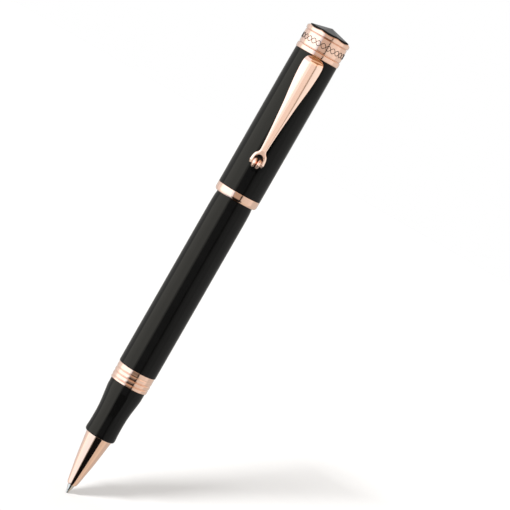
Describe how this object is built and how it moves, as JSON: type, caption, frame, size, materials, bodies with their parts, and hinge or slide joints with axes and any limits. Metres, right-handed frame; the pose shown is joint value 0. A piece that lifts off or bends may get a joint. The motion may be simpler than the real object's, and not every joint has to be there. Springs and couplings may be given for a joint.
{
  "type": "rollerball pen",
  "caption": "Slim rollerball pen with its cap pushed onto the rear of the barrel, a sprung pocket clip with a roller end, and a faceted stone on the crown.",
  "frame": {"origin": "the writing point: the lowest point of the ball, on the pen's axis", "axes": "+Z along the pen from the writing point to the crown; the pocket clip lies on the -Y side; +X to the right as the clip is faced"},
  "size_m": [0.0144, 0.0178, 0.1623],
  "materials": {
    "black_resin": "deep black resin, polished to a high gloss",
    "rose_gold": "rose gold plating, mirror polished",
    "nickel_silver": "turned nickel silver, fine lathe lines",
    "carbide": "ground carbide",
    "spring_steel": "drawn bright",
    "plain_brass": "turned, unplated",
    "refill_plastic": "moulded, slightly cloudy",
    "refill_tube_metal": "drawn, satin",
    "fibre": "bonded fibre",
    "ink_fibre": "bonded fibre soaked in ink",
    "black_plastic": "moulded, satin",
    "seal_rubber": "soft moulded",
    "black_stone": "black stone, cut and polished facets"
  },
  "bodies": {
    "barrel": {"thread_ring": "rose_gold", "barrel_shell": "black_resin", "barrel_liner": "plain_brass", "tail_plug": "black_resin", "refill_spring": "spring_steel", "spring_cup": "plain_brass"},
    "seal": {"section_seal": "seal_rubber"},
    "section": {"nose_cone": "rose_gold", "grip_section": "black_resin", "section_liner": "plain_brass"},
    "refill": {"tip_socket": "nickel_silver", "refill_tip_holder": "refill_plastic", "refill_tube": "refill_tube_metal", "ink_wick": "fibre", "ink_reservoir": "ink_fibre", "refill_end_plug": "refill_plastic"},
    "ball": {"ball": "carbide"},
    "cap": {"cap_shell": "black_resin", "cap_lip_ring": "rose_gold", "cap_thread_insert": "plain_brass", "inner_cap": "black_plastic", "clip_carrier": "plain_brass", "clip_pin": "spring_steel", "crown_lower_ring": "rose_gold", "crown_band": "rose_gold", "crown_top_ring": "rose_gold", "crown_core": "plain_brass", "crown_stud": "spring_steel", "crown_nut": "plain_brass", "crown_gem": "black_stone"},
    "clip": {"clip_arm": "rose_gold", "roller_axle": "spring_steel"},
    "clip_roller": {"clip_roller": "rose_gold"}
  },
  "joints": [
    {"name": "cap_pull", "type": "slide", "parent": "barrel", "child": "cap", "axis": [0, 0, 1], "range_m": [0, 0.03]},
    {"name": "clip_flex", "type": "hinge", "parent": "cap", "child": "clip", "pos_m": [0, -0.0049, 0.15115], "axis": [-1, 0, 0], "range_deg": [0, 4], "stiffness_Nm_per_rad": 0.5, "springref_deg": -1.72},
    {"name": "roller_turn", "type": "hinge", "parent": "clip", "child": "clip_roller", "pos_m": [0, -0.00886, 0.1165], "axis": [1, 0, 0], "continuous": true},
    {"name": "section_advance", "type": "slide", "parent": "barrel", "child": "seal", "axis": [0, 0, -1], "range_m": [0, 0.004]},
    {"name": "section_unscrew", "type": "hinge", "parent": "seal", "child": "section", "pos_m": [0, 0, 0.045], "axis": [0, 0, -1], "range_deg": [0, 1441]},
    {"name": "refill_press", "type": "slide", "parent": "section", "child": "refill", "axis": [0, 0, 1], "range_m": [0, 0.0005], "stiffness_N_per_m": 300, "springref_m": -0.003, "deforming": ["refill_spring"]},
    {"name": "ball_roll", "type": "hinge", "parent": "refill", "child": "ball", "pos_m": [0, 0, 0.00035], "axis": [1, 0, 0], "continuous": true}
  ],
  "couplings": [
    {"joint": "section_unscrew", "follows": "section_advance", "rad_per_m": 6283.2}
  ]
}
